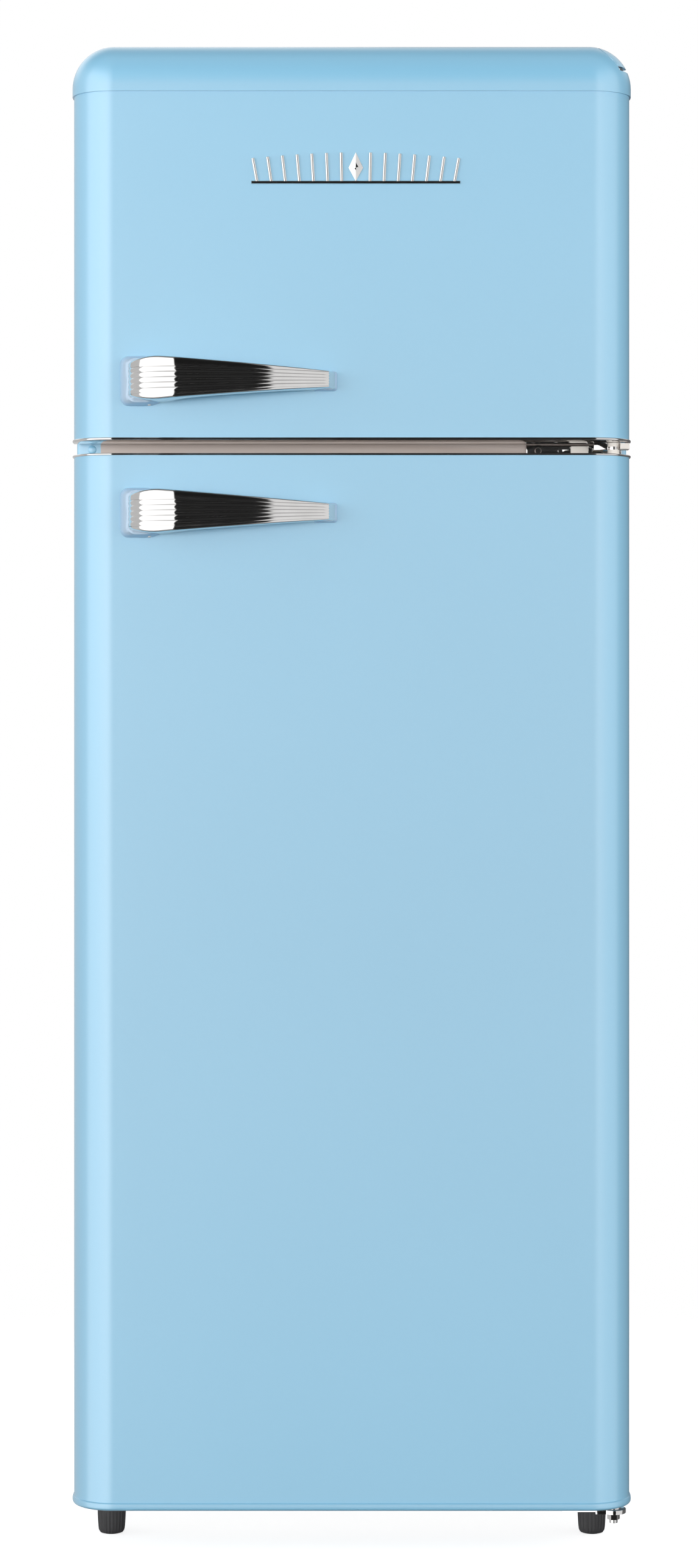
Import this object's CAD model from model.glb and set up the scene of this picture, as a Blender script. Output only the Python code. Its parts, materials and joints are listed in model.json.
import json
import math

import bmesh
import bpy
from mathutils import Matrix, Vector


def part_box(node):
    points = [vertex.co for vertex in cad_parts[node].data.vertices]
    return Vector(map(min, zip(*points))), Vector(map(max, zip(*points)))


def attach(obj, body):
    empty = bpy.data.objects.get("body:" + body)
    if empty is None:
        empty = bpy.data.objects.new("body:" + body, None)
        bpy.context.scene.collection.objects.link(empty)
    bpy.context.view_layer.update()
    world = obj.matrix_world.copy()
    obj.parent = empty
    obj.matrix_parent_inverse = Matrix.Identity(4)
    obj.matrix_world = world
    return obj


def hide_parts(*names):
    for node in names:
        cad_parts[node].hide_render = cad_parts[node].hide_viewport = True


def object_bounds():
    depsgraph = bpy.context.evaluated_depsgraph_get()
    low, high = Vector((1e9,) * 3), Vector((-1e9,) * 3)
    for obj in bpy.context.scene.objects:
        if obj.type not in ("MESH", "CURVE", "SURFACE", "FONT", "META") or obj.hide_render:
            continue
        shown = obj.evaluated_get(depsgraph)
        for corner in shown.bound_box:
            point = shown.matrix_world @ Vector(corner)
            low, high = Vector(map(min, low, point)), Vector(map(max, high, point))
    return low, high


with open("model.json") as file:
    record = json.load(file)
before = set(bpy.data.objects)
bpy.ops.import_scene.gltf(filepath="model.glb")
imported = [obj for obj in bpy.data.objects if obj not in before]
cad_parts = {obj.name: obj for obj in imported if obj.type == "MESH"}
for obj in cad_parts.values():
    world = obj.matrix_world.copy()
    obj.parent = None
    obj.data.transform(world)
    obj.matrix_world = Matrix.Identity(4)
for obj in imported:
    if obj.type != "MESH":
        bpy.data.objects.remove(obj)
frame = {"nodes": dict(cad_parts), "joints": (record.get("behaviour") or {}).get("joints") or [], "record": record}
CAD_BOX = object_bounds()

MM = 0.001
FLOOR_Z = CAD_BOX[0].z


# ---------------------------------------------------------------- mesh helpers

def mm(x, y, z):
    return Vector((x, y, z)) * MM


def circle(steps):
    """Cosine and sine of even steps round a circle."""
    return [(math.cos(2 * math.pi * k / steps), math.sin(2 * math.pi * k / steps)) for k in range(steps)]


def sheet_rows(lo, hi, rows):
    """Stations along Y of a round rectangle in a box, from inset, depth and corner radius in millimetres."""
    return [(lo.x + g * MM, hi.x - g * MM, lo.z + g * MM, hi.z - g * MM, r * MM, lo.y + d * MM)
            for g, d, r in rows]


def new_mesh(name, verts, faces):
    mesh = bpy.data.meshes.new(name)
    mesh.from_pydata([tuple(v) for v in verts], [], faces)
    return mesh


def new_object(name, data):
    obj = bpy.data.objects.new(name, data)
    bpy.context.scene.collection.objects.link(obj)
    return obj


def edit(mesh, change):
    """Run one change on the mesh as a bmesh."""
    bm = bmesh.new()
    bm.from_mesh(mesh)
    change(bm)
    bm.to_mesh(mesh)
    bm.free()


def tidy_mesh(bm, smooth_deg):
    """Merge, drop slivers, turn normals out and mark the sharp edges."""
    bmesh.ops.remove_doubles(bm, verts=bm.verts, dist=1e-6)
    bmesh.ops.dissolve_degenerate(bm, dist=1e-7, edges=bm.edges)
    bmesh.ops.recalc_face_normals(bm, faces=bm.faces)
    for f in bm.faces:
        f.smooth = True
    for e in bm.edges:
        e.smooth = e.is_manifold and e.calc_face_angle(0) < math.radians(smooth_deg)


def new_piece(name, verts, faces, body, slot, replaces=(), smooth_deg=35, look=None):
    """A mesh piece that rides on a body; edges sharper than smooth_deg stay crisp."""
    mesh = new_mesh(name, verts, faces)
    edit(mesh, lambda bm: tidy_mesh(bm, smooth_deg))
    return register(mesh, name, body, slot, replaces, look)


def register(mesh, name, body, slot, replaces=(), look=None):
    """Put a mesh on its body, with the look of its slot unless another is given."""
    obj = new_object(name, mesh)
    mesh.materials.append(look or LOOKS[slot])
    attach(obj, body)
    if replaces:
        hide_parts(*replaces)
    return obj


def loft(rings, cap_end=True, loop=False):
    """Vertices and faces through rings of equal length; loop joins the last ring to the first."""
    n = len(rings[0])
    verts = [p for ring in rings for p in ring]
    faces = []
    for i in range(len(rings) if loop else len(rings) - 1):
        j = (i + 1) % len(rings)
        for k in range(n):
            m = (k + 1) % n
            faces.append((i * n + k, i * n + m, j * n + m, j * n + k))
    if loop:
        return verts, faces
    faces.append(tuple(range(n - 1, -1, -1)))
    if cap_end:
        faces.append(tuple(range((len(rings) - 1) * n, len(rings) * n)))
    return verts, faces


def join(*parts):
    """One vertex and face list out of several."""
    verts, faces = [], []
    for v, f in parts:
        base = len(verts)
        verts += v
        faces += [tuple(i + base for i in face) for face in f]
    return verts, faces


def round_rect(u0, u1, v0, v1, r, steps):
    """Points of a rectangle with round corners, always 4 * (steps + 1); r is one radius or (top, bottom)."""
    radii = r if isinstance(r, tuple) else (r, r)
    top, low = (max(min(x, (u1 - u0) / 2, (v1 - v0) / 2), 1e-5) for x in radii)
    pts = []
    for cu, cv, a0, r in ((u1 - top, v1 - top, 0, top), (u0 + top, v1 - top, 90, top),
                          (u0 + low, v0 + low, 180, low), (u1 - low, v0 + low, 270, low)):
        for i in range(steps + 1):
            a = math.radians(a0 + 90 * i / steps)
            pts.append((cu + r * math.cos(a), cv + r * math.sin(a)))
    return pts


def place(axis, u, v, w):
    """Point from two outline coordinates and one along the axis, cyclic order."""
    if axis == "x":
        return (w, u, v)
    if axis == "y":
        return (u, w, v)
    return (u, v, w)


def rect_loft(stations, axis, steps=6, loop=False):
    """Loft through round rectangles, each given as u0, u1, v0, v1, corner radius and place on the axis."""
    rings = [[place(axis, u, v, w) for u, v in round_rect(u0, u1, v0, v1, r, steps)]
             for u0, u1, v0, v1, r, w in stations]
    return loft(rings, loop=loop)


def arc_levels(radius, steps=4):
    """Pairs from (0, radius) to (radius, 0) along a quarter circle, for a rounded edge."""
    return [(radius * (1 - math.cos(a)), radius * (1 - math.sin(a)))
            for a in (math.radians(90 * i / steps) for i in range(steps + 1))]


def turned(p, axis):
    """The coordinates of a point in the order that place takes them."""
    return [p[i] for i in {"x": (1, 2, 0), "y": (0, 2, 1), "z": (0, 1, 2)}[axis]]


def inset_loft(outline, levels, r, r_min, axis, steps):
    """Loft through one round rectangle, moved inwards and along the axis by each pair in levels."""
    u0, u1, v0, v1 = outline
    return rect_loft([(u0 + g, u1 - g, v0 + g, v1 - g, max(r - g, r_min), w) for g, w in levels], axis, steps)


def soft_block(lo, hi, axis, r_side, r_edge, steps=6, edge_steps=3):
    """Block with round corners and rounded rims, as a loft along one axis. Radii are in millimetres."""
    (u0, v0, w0), (u1, v1, w1) = turned(lo, axis), turned(hi, axis)
    most = 2.01
    r_edge = min(r_edge * MM, (w1 - w0) / most, (u1 - u0) / most, (v1 - v0) / most)
    arc = arc_levels(r_edge, edge_steps)
    levels = [(g, w0 + d) for g, d in arc[::-1]] + [(g, w1 - d) for g, d in arc]
    return inset_loft((u0, u1, v0, v1), levels, r_side * MM, 0.2 * MM, axis, steps)


def tray(lo, hi, wall, r_side, r_edge, axis="z", floor=None):
    """Open box with its mouth at the high end of the axis. Wall, floor and radii are in millimetres."""
    (u0, v0, w0), (u1, v1, w1) = turned(lo, axis), turned(hi, axis)
    floor = (floor or wall) * MM
    inner = max(r_edge - wall, 0.5) * MM
    wall *= MM
    rim = wall / 2
    levels = [(g, w0 + d) for g, d in arc_levels(r_edge * MM)[::-1]]
    for i in range(5):
        a = math.radians(45 * i)
        levels.append((rim - rim * math.cos(a), w1 - rim + rim * math.sin(a)))
    levels += [(wall + g, w0 + floor + d) for g, d in arc_levels(inner)]
    return inset_loft((u0, u1, v0, v1), levels, r_side * MM, 0.3 * MM, axis, 6)


def turn(profile, centre, axis, steps, wobble=None):
    """Solid turned from (radius, along) pairs in millimetres. wobble(angle, row) scales the radius."""
    rings = []
    for row, (r, w) in enumerate(profile):
        ring = []
        for k in range(steps):
            a = 2 * math.pi * k / steps
            rr = max(r * MM, 1e-5) * (wobble(a, row) if wobble else 1)
            point = place(axis, rr * math.cos(a), rr * math.sin(a), w * MM)
            ring.append(tuple(c + d for c, d in zip(centre, point)))
        rings.append(ring)
    return loft(rings)


def tube(points, r, steps):
    """Round tube along points, with a frame that doesn't twist."""
    pts = [Vector(p) for p in points]
    rings = []
    side = None
    for i, p in enumerate(pts):
        t = (pts[min(i + 1, len(pts) - 1)] - pts[max(i - 1, 0)]).normalized()
        if side is None:
            side = t.orthogonal().normalized()
        side = (side - t * side.dot(t)).normalized()
        other = t.cross(side)
        rings.append([p + r * (c * side + d * other) for c, d in circle(steps)])
    return loft(rings)


def round_route(points, radius, steps=6):
    """Route with its corners turned into arcs."""
    pts = [Vector(p) for p in points]
    out = [pts[0]]
    for a, p, b in zip(pts, pts[1:], pts[2:]):
        u, v = (a - p).normalized(), (b - p).normalized()
        for i in range(steps + 1):
            t = math.radians(90 * i / steps)
            out.append(p + radius * (1 - math.sin(t)) * u + radius * (1 - math.cos(t)) * v)
    out.append(pts[-1])
    return out


# ---------------------------------------------------------------- materials

class Graph:
    """Short way to build a node material."""

    def __init__(self, name):
        self.mat = bpy.data.materials.new(name)
        self.mat.use_nodes = True
        self.tree = self.mat.node_tree
        self.tree.nodes.clear()
        self.bsdf = self.add("ShaderNodeBsdfPrincipled")
        self.link(self.bsdf.outputs[0], self.add("ShaderNodeOutputMaterial").inputs[0])
        self.coords = self.add("ShaderNodeTexCoord").outputs["Object"]

    def add(self, kind, **props):
        node = self.tree.nodes.new(kind)
        for key, value in props.items():
            setattr(node, key, value)
        return node

    def link(self, a, b):
        self.tree.links.new(a, b)

    def noise(self, scale, detail, rough=0.5, stretch=None):
        node = self.add("ShaderNodeTexNoise")
        node.inputs["Scale"].default_value = scale
        node.inputs["Detail"].default_value = detail
        node.inputs["Roughness"].default_value = rough
        source = self.coords
        if stretch:
            mapping = self.add("ShaderNodeMapping")
            mapping.inputs["Scale"].default_value = stretch
            self.link(self.coords, mapping.inputs["Vector"])
            source = mapping.outputs[0]
        self.link(source, node.inputs["Vector"])
        return node.outputs["Fac"]

    def ramp(self, fac, stops):
        node = self.add("ShaderNodeValToRGB")
        ramp = node.color_ramp
        while len(ramp.elements) < len(stops):
            ramp.elements.new(0.5)
        for element, (pos, colour) in zip(ramp.elements, stops):
            element.position = pos
            element.color = (*colour, 1) if len(colour) == 3 else colour
        self.link(fac, node.inputs["Fac"])
        return node.outputs["Color"]

    def rough(self, fac, low, high):
        node = self.add("ShaderNodeMapRange")
        node.inputs["To Min"].default_value = low
        node.inputs["To Max"].default_value = high
        self.link(fac, node.inputs["Value"])
        self.link(node.outputs[0], self.bsdf.inputs["Roughness"])

    def bump(self, fac, strength, distance):
        node = self.add("ShaderNodeBump")
        node.inputs["Strength"].default_value = strength
        node.inputs["Distance"].default_value = distance
        self.link(fac, node.inputs["Height"])
        if self.bsdf.inputs["Normal"].is_linked:
            self.link(self.bsdf.inputs["Normal"].links[0].from_socket, node.inputs["Normal"])
        self.link(node.outputs[0], self.bsdf.inputs["Normal"])

    def set(self, **values):
        for key, value in values.items():
            self.bsdf.inputs[key.replace("_", " ")].default_value = value

    def colour(self, socket):
        self.link(socket, self.bsdf.inputs["Base Color"])


def srgb(r, g, b):
    def lin(c):
        c /= 255
        return c / 12.92 if c <= 0.04045 else ((c + 0.055) / 1.055) ** 2.4
    return lin(r), lin(g), lin(b)


def shade(c, k):
    return tuple(min(1.0, x * k) for x in c)


def varied(name, base, spread, rough, patch, grain, bump, depth, **values):
    """Material with slow colour drift, uneven roughness and a fine surface grain."""
    g = Graph(name)
    g.colour(g.ramp(g.noise(patch, 4), [(0.3, shade(base, 1 - spread)), (0.7, shade(base, 1 + spread))]))
    g.rough(g.noise(patch * 7, 3), *rough)
    g.bump(g.noise(grain, 2), bump, depth)
    g.set(**values)
    return g


def make_paint(name, base, rough, peel_scale, peel):
    """Satin powder coat: faint drift of tone, orange peel, fine dust in the lacquer."""
    g = Graph(name)
    drift = g.noise(2.2, 2)
    tone = g.ramp(drift, [(0.25, shade(base, 0.985)), (0.75, shade(base, 1.015))])
    dust = g.noise(2600, 1)
    specks = g.ramp(dust, [(0.0, (0.80, 0.84, 0.86)), (0.17, (1, 1, 1))])
    mix = g.add("ShaderNodeMix", data_type="RGBA", blend_type="MULTIPLY")
    mix.inputs["Factor"].default_value = 0.5
    g.link(tone, mix.inputs["A"])
    g.link(specks, mix.inputs["B"])
    g.colour(mix.outputs["Result"])
    g.rough(g.noise(35, 4), *rough)
    g.bump(g.noise(peel_scale, 2, 0.4), peel, 0.0003)
    g.set(**{"Coat Weight": 1.0, "Coat IOR": 2.1, "Coat Roughness": 0.26, "Specular IOR Level": 0.45})
    return g.mat


def make_chrome(name):
    """Polished plate: near mirror, with faint wiping marks and a touch of haze."""
    g = Graph(name)
    g.colour(g.ramp(g.noise(40, 3), [(0.3, (0.74, 0.73, 0.72)), (0.7, (0.80, 0.79, 0.785))]))
    g.rough(g.noise(140, 4, 0.6, (1, 1, 3)), 0.025, 0.075)
    g.bump(g.noise(60, 2), 0.03, 0.0004)
    g.set(Metallic=1.0)
    return g.mat


def make_liner(name):
    """Vacuum-formed white plastic: slow waviness and a soft grain."""
    g = varied(name, srgb(238, 240, 240), 0.012, (0.20, 0.32), 3.0, 900, 0.05, 0.0003)
    g.bump(g.noise(18, 2), 0.05, 0.002)
    g.set(**{"Subsurface Weight": 0.03, "Subsurface Radius": (0.01, 0.01, 0.01)})
    return g.mat


def make_glass(name, tint, rough):
    g = Graph(name)
    g.colour(g.ramp(g.noise(8, 2), [(0.3, shade(tint, 0.98)), (0.7, tint)]))
    g.rough(g.noise(60, 4), *rough)
    g.set(**{"Transmission Weight": 0.95, "IOR": 1.5})
    return g.mat


def make_zinc():
    """Zinc plated sheet: crystal patches in tone and gloss."""
    g = Graph("zinc_sheet")
    cells = g.add("ShaderNodeTexVoronoi")
    cells.inputs["Scale"].default_value = 160
    g.link(g.coords, cells.inputs["Vector"])
    g.colour(g.ramp(cells.outputs["Color"], [(0.2, (0.56, 0.57, 0.58)), (0.8, (0.63, 0.64, 0.65))]))
    g.rough(cells.outputs["Color"], 0.35, 0.5)
    g.bump(g.noise(400, 3), 0.1, 0.0003)
    g.set(Metallic=0.85)
    return g.mat


BLUE = srgb(135, 195, 226)
PAD = varied("satin_pad", srgb(178, 200, 220), 0.02, (0.25, 0.35), 20, 1200, 0.05, 0.0002, Metallic=0.25).mat
NICKEL = varied("satin_nickel", (0.5, 0.43, 0.41), 0.05, (0.22, 0.3), 60, 900, 0.05, 0.0002, Metallic=1).mat


LOOKS = {
    "blue_paint": make_paint("blue_powder_coat", BLUE, (0.34, 0.42), 420, 0.07),
    "blue_plastic": make_paint("blue_cap_plastic", shade(BLUE, 0.99), (0.30, 0.38), 650, 0.05),
    "chrome": make_chrome("chrome_plate"),
    "white_liner": make_liner("white_liner"),
    "grey_steel": make_zinc(),
    "shelf_glass": make_glass("shelf_glass", (0.86, 0.95, 0.92), (0.0, 0.04)),
    "clear_plastic": make_glass("clear_plastic", (0.92, 0.96, 0.98), (0.05, 0.12)),
    "frosted_plastic": make_glass("frosted_plastic", (0.93, 0.94, 0.94), (0.4, 0.55)),
    "bulb_glass": make_glass("bulb_glass", (1.0, 0.95, 0.82), (0.0, 0.03)),
}
# slot, material name, colour, spread of tone, roughness, patch and grain size, bump, its depth, metallic
for slot, label, *values, metallic in (
        ("gasket_rubber", "gasket_rubber", srgb(225, 225, 222), 0.03, (0.55, 0.7), 20, 1500, 0.1, 0.0002, 0),
        ("greige_paint", "greige_enamel", srgb(183, 170, 163), 0.02, (0.28, 0.38), 9, 800, 0.05, 0.0002, 0),
        ("nylon", "nylon", srgb(224, 219, 212), 0.03, (0.4, 0.55), 30, 1200, 0.08, 0.0002, 0),
        ("foot_plastic", "foot_plastic", srgb(44, 44, 46), 0.10, (0.42, 0.6), 60, 1400, 0.25, 0.0003, 0),
        ("black_rubber", "black_rubber", srgb(28, 28, 29), 0.12, (0.6, 0.8), 50, 1600, 0.2, 0.0003, 0),
        ("black_paint", "black_enamel", srgb(24, 24, 26), 0.10, (0.25, 0.42), 25, 500, 0.12, 0.0003, 0),
        ("black_plastic", "black_plastic", srgb(32, 32, 34), 0.08, (0.4, 0.55), 25, 1300, 0.2, 0.0003, 0),
        ("white_plastic", "white_plastic", srgb(235, 236, 234), 0.015, (0.3, 0.42), 14, 1200, 0.08, 0.0002, 0),
        ("grey_plastic", "grey_plastic", srgb(196, 198, 200), 0.03, (0.35, 0.5), 30, 1200, 0.12, 0.0002, 0),
        ("aluminium", "aluminium_sheet", (0.78, 0.79, 0.80), 0.05, (0.28, 0.45), 30, 300, 0.1, 0.0003, 1),
        ("copper", "copper_tube", srgb(184, 115, 81), 0.18, (0.22, 0.42), 45, 400, 0.1, 0.0003, 1),
        ("foam", "insulation_foam", srgb(232, 214, 160), 0.07, (0.8, 0.95), 60, 900, 0.5, 0.0008, 0),
        ("motor_steel", "cast_motor", srgb(120, 112, 104), 0.12, (0.45, 0.65), 40, 500, 0.3, 0.0005, 0.8)):
    LOOKS[slot] = varied(label, *values, Metallic=metallic).mat
LOOKS["white_wire"] = LOOKS["white_plastic"]


def finish_cad_nodes():
    """Every CAD node that stays gets its procedural material."""
    slots = {s["node"]: s["material_slot"] for s in frame["record"]["subparts"]}
    for name, obj in frame["nodes"].items():
        obj.data.materials.clear()
        obj.data.materials.append(LOOKS[slots[name]])


# ---------------------------------------------------------------- doors

CAP_R = 41.5 * MM


def door_outline(hw, y0, y1, r):
    """Plan outline of a door, with extra points beside each arc so that flat faces stay flat."""
    edge, steps = 1.5 * MM, 16
    pts = [(hw, y1), (hw, y0 + r + edge)]
    for i in range(steps + 1):
        a = math.radians(-90 * i / steps)
        pts.append((hw - r + r * math.cos(a), y0 + r + r * math.sin(a)))
    pts.append((hw - r - edge, y0))
    return pts + [(-x, y) for x, y in reversed(pts)]


def stack(outlines):
    """Rings out of pairs of an outline and its height."""
    return [[(x, y, z) for x, y in outline] for outline, z in outlines]


def door_skin(name, node, body):
    """Bent steel skin with folded rear edges, as one closed sheet."""
    lo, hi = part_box(node)
    r = 40 * MM
    t = 1 * MM
    hw = hi.x
    fold = 15 * MM
    outer = door_outline(hw, lo.y, hi.y, r)
    inner = door_outline(hw - t, lo.y + t, hi.y - t, r - t)
    outline = [(hw - fold, hi.y)] + outer + [(fold - hw, hi.y)]
    outline += [(fold - hw, hi.y - t)] + inner[::-1] + [(hw - fold, hi.y - t)]
    rings = stack([(outline, z) for z in (lo.z, lo.z + 1 * MM, hi.z - 1 * MM, hi.z)])
    new_piece(name, *loft(rings), body, "blue_paint", (node,))


def dome_levels(top):
    """Inset and height of the rounded top edge of the freezer door."""
    return [(g, top - d) for g, d in arc_levels(CAP_R, 18)]


def cap_loft(levels, lo, hi):
    """Loft through door outlines, each moved inwards by the first number of its level."""
    return loft(stack([(door_outline(hi.x - g, lo.y + g, hi.y, max(CAP_R - g, 1e-5)), z) for g, z in levels]))


def top_cap():
    """Rounded end cap of the freezer door, with the notch for the top hinge."""
    node = "freezer_door_top_cap"
    lo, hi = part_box(node)
    levels = [(0, lo.z), (0, lo.z + 0.4 * MM), (0, hi.z - CAP_R - 1 * MM)] + dome_levels(hi.z)
    piece = new_piece("freezer_top_cap", *cap_loft(levels, lo, hi), "freezer_door", "blue_plastic", (node,))
    cut_notch(piece)


def hinge_axis():
    joint = next(j for j in frame["joints"] if j["name"] == "freezer_door_hinge")
    return joint["pos_m"][0], joint["pos_m"][1]


def arc_points(cx, cy, r, a0, a1, steps):
    return [(cx + r * math.cos(math.radians(a0 + (a1 - a0) * i / steps)),
             cy + r * math.sin(math.radians(a0 + (a1 - a0) * i / steps))) for i in range(steps + 1)]


def boolean(piece, cutter, operation):
    """Cut a piece, or keep what both share, and take the cutter away."""
    mod = piece.modifiers.new("cut", "BOOLEAN")
    mod.operation = operation
    mod.solver = "EXACT"
    mod.object = cutter
    dg = bpy.context.evaluated_depsgraph_get()
    mesh = bpy.data.meshes.new_from_object(piece.evaluated_get(dg))
    piece.modifiers.remove(mod)
    old = piece.data
    piece.data = mesh
    bpy.data.meshes.remove(old)
    bpy.data.objects.remove(cutter)
    edit(mesh, lambda bm: tidy_mesh(bm, 30))
    while len(mesh.materials) > 1:
        mesh.materials.pop(index=len(mesh.materials) - 1)


def loose_object(name, verts, faces):
    """Cutter for a boolean, which takes it away again."""
    mesh = new_mesh(name, verts, faces)
    edit(mesh, lambda bm: bmesh.ops.recalc_face_normals(bm, faces=bm.faces))
    return new_object(name, mesh)


def cut_notch(cap):
    px, py = hinge_axis()
    z0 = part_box("top_hinge_cover")[0].z - 4.5 * MM
    far = 0.32
    r = 15.5 * MM
    outline = [(far, 0.0), (px - r, 0.0)] + arc_points(px, py, r, 180, 270, 14) + [(far, py - r)]
    boolean(cap, loose_object("notch", *loft(stack([(outline, z0), (outline, 1.6)]))), "DIFFERENCE")


def hinge_cover():
    """Cover over the top hinge arm: the same rounded corner, cut to a round nose."""
    node = "top_hinge_cover"
    lo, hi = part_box(node)
    cap_lo, cap_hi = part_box("freezer_door_top_cap")
    solid = cap_loft(dome_levels(cap_hi.z), cap_lo, Vector((cap_hi.x, hi.y, 0)))
    piece = new_piece("hinge_cover", *solid, "cabinet", "blue_plastic", (node,))
    px, py = hinge_axis()
    rn = 14.5 * MM
    outline = [(px + 9 * MM, 0.0), (px - rn, 0.0)] + arc_points(px, py, rn, 180, 360 + 51.6, 26)
    boolean(piece, loose_object("nose", *loft(stack([(outline, lo.z), (outline, 1.6)]))), "INTERSECT")


def trim_plate(name, node, body, bead):
    """End trim with a rounded outer edge."""
    lo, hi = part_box(node)
    levels = [(bead * (1 - math.cos(a)), (lo.z + hi.z) / 2 + (hi.z - lo.z) / 2 * math.sin(a))
              for a in (math.radians(30 * i) for i in range(-3, 4))]
    new_piece(name, *cap_loft(levels, lo, hi), body, "chrome", (node,), 50)


def bottom_cap():
    """Plastic end of the fridge door: a straight band, then a full rounded lip."""
    node = "fridge_door_bottom_cap"
    lo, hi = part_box(node)
    levels = [(g * MM, hi.z - d * MM) for g, d in ((1.4, 0), (0.5, 0.5), (0.1, 1.4), (0, 2.6))]
    levels += [(g, lo.z + d) for g, d in arc_levels(3.2 * MM, 6)]
    solid = cap_loft(levels[::-1], lo, hi)
    new_piece("fridge_bottom_cap", *solid, "fridge_door", "blue_plastic", (node,), 50)


# ---------------------------------------------------------------- handles

FLUTES = 5
NOSE_A, NOSE_B = 50 * MM, 33.5 * MM
REACH = 45 * MM
DROP = 22 * MM
FLARE = 8 * MM
FRONT_LENGTH = 143 * MM
ARCH_AT = (49 * MM, 185 * MM)
BAR_T = 13 * MM


def bar_reach(x):
    """How far the front of a handle stands out from the door, x from the left end of its base."""
    u = (x - FLARE - NOSE_A) / FRONT_LENGTH
    return REACH - DROP * (0.88 * u ** 2 + 0.12 * u ** 7)


def bar_half(x):
    """Half height of the front of a handle: widest after the nose, then an even taper."""
    if x < 37 * MM:
        return 20.9 * MM - 3.9 * MM * ((37 * MM - x) / (27 * MM)) ** 2
    return 20.9 * MM - 0.0792 * (x - 37 * MM)


def bar_stations():
    """Points along the front of a handle: x and reach, outward direction, and whether it is fluted."""
    out = [((FLARE, 2 * MM), (-1.0, 0.0), True)]
    for i in range(17):
        t = math.radians(90 * i / 16)
        nx, ny = math.cos(t) / NOSE_A, math.sin(t) / NOSE_B
        size = math.hypot(nx, ny)
        at = (FLARE + NOSE_A * (1 - math.cos(t)), REACH - NOSE_B * (1 - math.sin(t)))
        out.append((at, (-nx / size, ny / size), True))
    for i in range(1, 33):
        u = i / 32
        x = FLARE + NOSE_A + FRONT_LENGTH * u
        slope = DROP * (1.76 * u + 0.84 * u ** 6) / FRONT_LENGTH
        size = math.hypot(1, slope)
        out.append(((x, bar_reach(x)), (slope / size, 1 / size), True))
    tip_x, tip_reach = out[-1][0]
    for dx, k in ((0.5, 0.97), (1.6, 0.8), (4.6, 0.4), (7.2, 0.08), (7.6, 0.0)):
        out.append(((tip_x + dx * MM, tip_reach * k), (0.95, 0.3), False))
    return out


def bar_rows(x, fluted):
    """Rows across the front of a handle, top to bottom: height and how far it lies behind the front."""
    half = bar_half(min(x, FLARE + NOSE_A + FRONT_LENGTH))
    t = max(0.0, min(1.0, (x - 54 * MM) / (147 * MM)))
    edge = (2.6 - 1.7 * t) * MM
    top, bottom = (10.8 - 4.0 * t) * MM, (-14.7 + 8.4 * t) * MM
    depth = (0.6 - 0.3 * t) * MM if fluted else 0.0
    rows = [(half - edge * (1 - math.cos(a)), edge * (1 - math.sin(a)))
            for a in (math.radians(90 * i / 4) for i in range(5))]
    per_flute = 8
    for k in range(FLUTES * per_flute + 1):
        f = (k % per_flute) / per_flute
        rows.append((top + (bottom - top) * k / (FLUTES * per_flute), depth * (2 * f - 1) ** 2))
    rows[5:5] = [(top + 0.25 * MM, 0.0)]
    rows.append((bottom - 0.25 * MM, 0.0))
    rows += [(-v, d) for v, d in rows[4::-1]]
    return rows


def arch_behind(x):
    """Depth of the finger space behind a handle."""
    a0, a1 = ARCH_AT
    if not a0 < x < a1:
        return 0.0
    t = (x - a0) / (a1 - a0)
    return (bar_reach(x) - BAR_T) * math.sqrt(1 - abs(2 * t - 1) ** 4)


def handle(name, node, body):
    """Fluted chrome bar on two pads, wide at the nose, with an arch behind for the fingers."""
    lo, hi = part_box(node)
    x0, x1, y_door = lo.x, hi.x, hi.y
    zc = (lo.z + hi.z) / 2
    rings = []
    for (x, reach), (nx, ny), fluted in bar_stations():
        outer = [(x0 + x - nx * d, y_door - reach + ny * d, zc + v) for v, d in bar_rows(x, fluted)]
        half = outer[0][2] - zc
        bx = min(max(x0 + x, x0 + FLARE + 0.8 * MM), x1 - 0.5 * MM)
        by = y_door - arch_behind(bx - x0)
        oy = outer[-1][1]
        down = [(x0 + x + (bx - x0 - x) * t, oy + (by - oy) * t, zc - half) for t in (0.3, 0.65, 1.0)]
        behind = [(bx, by, zc - half + 2 * half * k / 6) for k in range(1, 6)]
        up = [(x, y, 2 * zc - z) for x, y, z in down[::-1]]
        rings.append(outer + down + behind + up)
    bar = loft(rings)
    pads = []
    for left, h, end, r, grow, reach in ((True, 24 * MM, 12 * MM, 8 * MM, 7 * MM, 12.5 * MM),
                                         (False, 9.5 * MM, 9.5 * MM, 3 * MM, 2.4 * MM, 6 * MM)):
        rings = []
        for t in (0, 0.2, 0.45, 0.7, 0.88, 1):
            g, y = grow * t ** 2.2, y_door - reach * t
            if left:
                outer_x, bend_x, end_x = x0 + g, x0 + 32 * MM, x0 + 54 * MM - 1.5 * MM * t
            else:
                outer_x, bend_x, end_x = x1 - g, x1 - 14 * MM, x1 - 24 * MM + 1.5 * MM * t
            v, low = h - g * 0.4, end - g * 0.4
            corners = [(outer_x, y, zc), (outer_x, y, zc + v), (bend_x, y, zc + v), (end_x, y, zc + low),
                       (end_x, y, zc - low), (bend_x, y, zc - v), (outer_x, y, zc - v), (outer_x, y, zc)]
            rings.append(round_route(corners, r)[:-1])
        pads.append(loft(rings))
    new_piece(name, *bar, body, "chrome", (node,), 28)
    new_piece(name + "_pads", *join(*pads), body, "blue_plastic", (), 40, PAD)
    socket = [(0, 0.6), (0.9, 0.6), (0.9, -0.2), (1.7, -0.2), (1.9, 0.1), (1.9, 1.6), (0, 1.6)]
    grub = turn(socket, (x0 + 28 * MM, y_door - 4.5 * MM, lo.z + 0.35 * MM), "z", 20)
    new_piece(name + "_grub_screw", *grub, body, "chrome", look=LOOKS["grey_steel"])


# ---------------------------------------------------------------- ornament

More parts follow.
